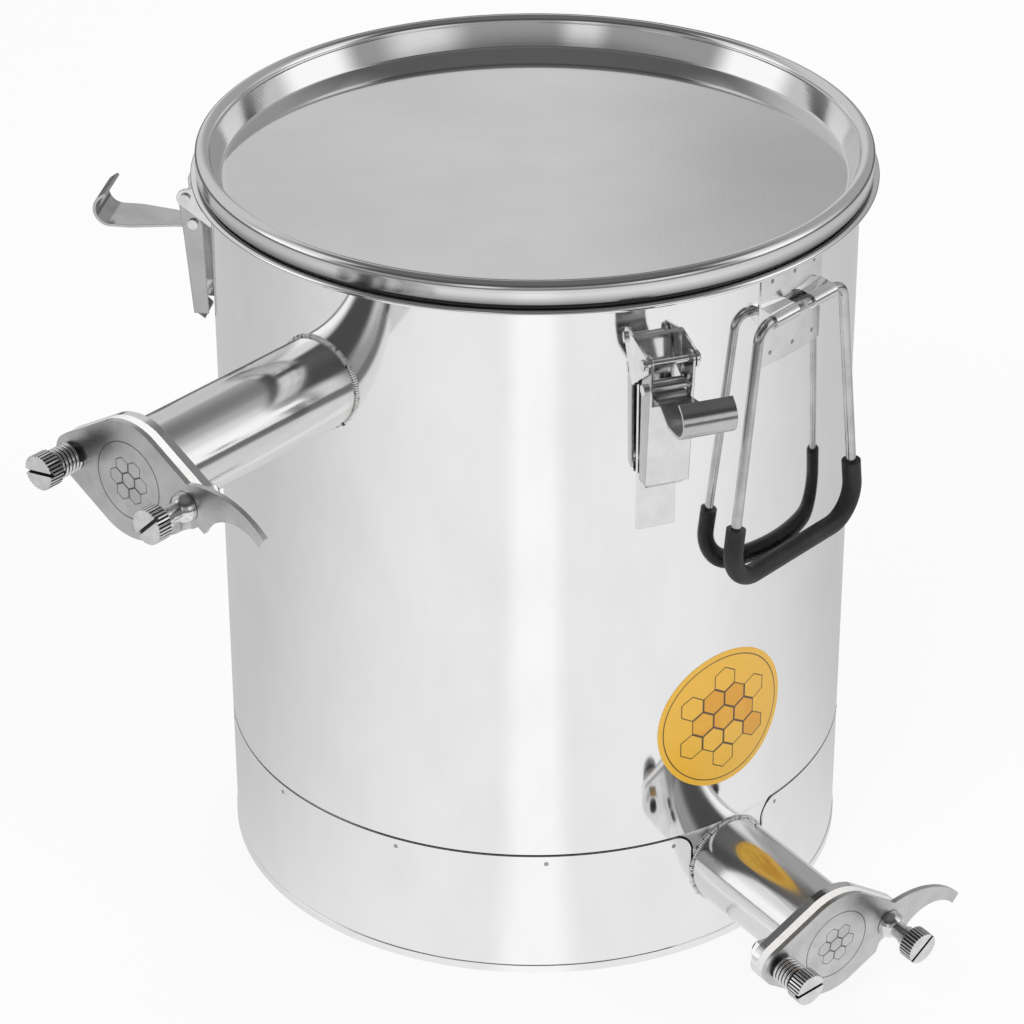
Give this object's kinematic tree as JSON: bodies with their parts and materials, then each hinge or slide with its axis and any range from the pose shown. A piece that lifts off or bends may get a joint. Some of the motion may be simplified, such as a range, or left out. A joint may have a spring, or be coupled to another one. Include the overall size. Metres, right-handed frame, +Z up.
{
  "type": "honey settling tank",
  "caption": "Polished stainless honey tank with a clamped lid, a high and a low spout closed by swinging gates, over-centre lid latches and drop handles.",
  "frame": {"origin": "on the tank's axis at the underside of its foot", "axes": "+Z up along the tank's axis; -Y is the front, towards the viewer between the two spouts; +X is the viewer's right"},
  "size_m": [0.5247, 0.5387, 0.459],
  "materials": {
    "polished_steel": "mirror-polished stainless sheet",
    "satin_steel": "satin stainless steel",
    "bright_nut": "bright turned and knurled stainless steel",
    "weld_steel": "cleaned weld",
    "spring_steel": "drawn spring wire",
    "white_seal": "smooth white food rubber",
    "black_rubber": "matte black rubber sleeve",
    "label_print": "printed film"
  },
  "bodies": {
    "tank": {"tank_barrel": "polished_steel", "tank_floor": "polished_steel", "base_skirt": "polished_steel", "skirt_spot_welds": "weld_steel", "label": "label_print", "upper_spout_tube": "satin_steel", "upper_spout_weld": "weld_steel", "upper_gate_flange": "satin_steel", "upper_gate_seal": "white_seal", "upper_stud_nuts": "satin_steel", "upper_pivot_stud": "satin_steel", "upper_pivot_spring": "spring_steel", "upper_pivot_nut": "bright_nut", "upper_clamp_stud": "satin_steel", "lower_spout_tube": "satin_steel", "lower_spout_weld": "weld_steel", "lower_gate_flange": "satin_steel", "lower_gate_seal": "white_seal", "lower_stud_nuts": "satin_steel", "lower_pivot_stud": "satin_steel", "lower_pivot_spring": "spring_steel", "lower_pivot_nut": "bright_nut", "lower_clamp_stud": "satin_steel", "front_latch_base": "satin_steel", "front_latch_pivot_pin": "bright_nut", "rear_latch_base": "satin_steel", "rear_latch_pivot_pin": "bright_nut", "left_latch_base": "satin_steel", "left_latch_pivot_pin": "bright_nut", "right_handle_bracket": "satin_steel", "left_handle_bracket": "satin_steel"},
    "lid": {"lid_pan": "polished_steel", "lid_gasket": "black_rubber"},
    "upper_gate": {"upper_gate_plate": "satin_steel"},
    "upper_bush": {"upper_clamp_bush": "bright_nut"},
    "upper_knob": {"upper_clamp_nut": "bright_nut"},
    "lower_gate": {"lower_gate_plate": "satin_steel"},
    "lower_bush": {"lower_clamp_bush": "bright_nut"},
    "lower_knob": {"lower_clamp_nut": "bright_nut"},
    "front_lever": {"front_latch_handle": "satin_steel", "front_latch_hook_pin": "bright_nut"},
    "front_hook": {"front_latch_hook": "satin_steel"},
    "rear_lever": {"rear_latch_handle": "satin_steel", "rear_latch_hook_pin": "bright_nut"},
    "rear_hook": {"rear_latch_hook": "satin_steel"},
    "left_lever": {"left_latch_handle": "satin_steel", "left_latch_hook_pin": "bright_nut"},
    "left_hook": {"left_latch_hook": "satin_steel"},
    "right_bail": {"right_handle_bail": "satin_steel", "right_handle_grip": "black_rubber"},
    "left_bail": {"left_handle_bail": "satin_steel", "left_handle_grip": "black_rubber"}
  },
  "joints": [
    {"name": "lid_lift", "type": "slide", "parent": "tank", "child": "lid", "axis": [0, 0, 1], "range_m": [0, 0.45]},
    {"name": "upper_gate_swing", "type": "hinge", "parent": "tank", "child": "upper_gate", "pos_m": [-0.24803, -0.23487, 0.37473], "axis": [-0.6361, -0.7716, 0], "range_deg": [0, 110]},
    {"name": "upper_bush_slide", "type": "slide", "parent": "tank", "child": "upper_bush", "axis": [-0.6361, -0.7716, 0], "range_m": [0, 0.0025]},
    {"name": "upper_clamp_turn", "type": "hinge", "parent": "upper_bush", "child": "upper_knob", "pos_m": [-0.18323, -0.28829, 0.37327], "axis": [-0.6361, -0.7716, 0], "range_deg": [0, 720]},
    {"name": "lower_gate_swing", "type": "hinge", "parent": "tank", "child": "lower_gate", "pos_m": [0.14204, -0.25393, 0.05123], "axis": [0.6069, -0.7909, -0.0785], "range_deg": [0, 110]},
    {"name": "lower_bush_slide", "type": "slide", "parent": "tank", "child": "lower_bush", "axis": [0.6069, -0.7909, -0.0785], "range_m": [0, 0.0025]},
    {"name": "lower_clamp_turn", "type": "hinge", "parent": "lower_bush", "child": "lower_knob", "pos_m": [0.20824, -0.20256, 0.04539], "axis": [0.6069, -0.7909, -0.0785], "range_deg": [0, 720]},
    {"name": "front_lever_turn", "type": "hinge", "parent": "tank", "child": "front_lever", "pos_m": [0.07335, -0.1941, 0.411], "axis": [-0.9354, -0.3535, 0], "range_deg": [0, 90]},
    {"name": "front_hook_turn", "type": "hinge", "parent": "front_lever", "child": "front_hook", "pos_m": [0.07211, -0.19083, 0.394], "axis": [0.9354, 0.3535, 0], "range_deg": [-70, 0]},
    {"name": "rear_lever_turn", "type": "hinge", "parent": "tank", "child": "rear_lever", "pos_m": [0.13143, 0.16057, 0.411], "axis": [0.7738, -0.6334, 0], "range_deg": [0, 90]},
    {"name": "rear_hook_turn", "type": "hinge", "parent": "rear_lever", "child": "rear_hook", "pos_m": [0.12921, 0.15786, 0.394], "axis": [-0.7738, 0.6334, 0], "range_deg": [-70, 0]},
    {"name": "left_lever_turn", "type": "hinge", "parent": "tank", "child": "left_lever", "pos_m": [-0.20477, 0.03353, 0.411], "axis": [0.1616, 0.9869, 0], "range_deg": [0, 90]},
    {"name": "left_hook_turn", "type": "hinge", "parent": "left_lever", "child": "left_hook", "pos_m": [-0.20132, 0.03297, 0.394], "axis": [-0.1616, -0.9869, 0], "range_deg": [-70, 0]},
    {"name": "right_bail_swing", "type": "hinge", "parent": "tank", "child": "right_bail", "pos_m": [0.14868, -0.12924, 0.413], "axis": [-0.6561, -0.7547, 0], "range_deg": [0, 90]},
    {"name": "left_bail_swing", "type": "hinge", "parent": "tank", "child": "left_bail", "pos_m": [-0.14868, 0.12924, 0.413], "axis": [0.6561, 0.7547, 0], "range_deg": [0, 90]}
  ],
  "couplings": [
    {"joint": "upper_clamp_turn", "follows": "upper_bush_slide", "rad_per_m": 5026.5},
    {"joint": "lower_clamp_turn", "follows": "lower_bush_slide", "rad_per_m": 5026.5}
  ]
}
